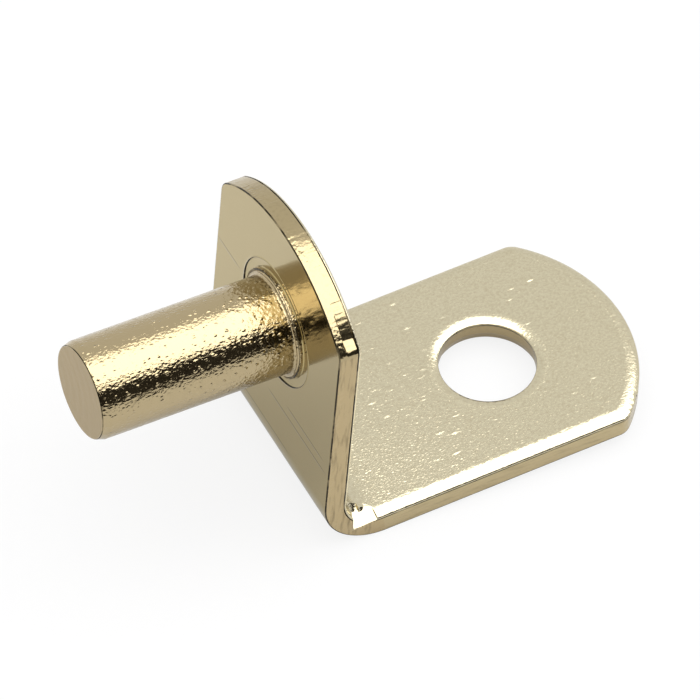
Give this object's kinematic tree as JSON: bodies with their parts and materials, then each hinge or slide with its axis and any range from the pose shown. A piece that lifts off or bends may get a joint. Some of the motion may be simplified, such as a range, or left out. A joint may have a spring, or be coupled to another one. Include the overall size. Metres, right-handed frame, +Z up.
{
  "type": "shelf support pin",
  "caption": "Bracket-style shelf support: a short round pin staked into a bent steel strip, with a screw hole in the leg that carries the shelf.",
  "frame": {"origin": "on the pin's axis, in the seat plane of the plate that rests against the cabinet side", "axes": "-X out along the pin into the cabinet side, +Z up, the screw leg runs towards +X, Y across the strip's width"},
  "size_m": [0.0303, 0.0122, 0.0172],
  "materials": {
    "strip": "polished",
    "pin": "gloss"
  },
  "bodies": {
    "root": {"bracket": "strip", "pin": "pin"}
  },
  "joints": []
}
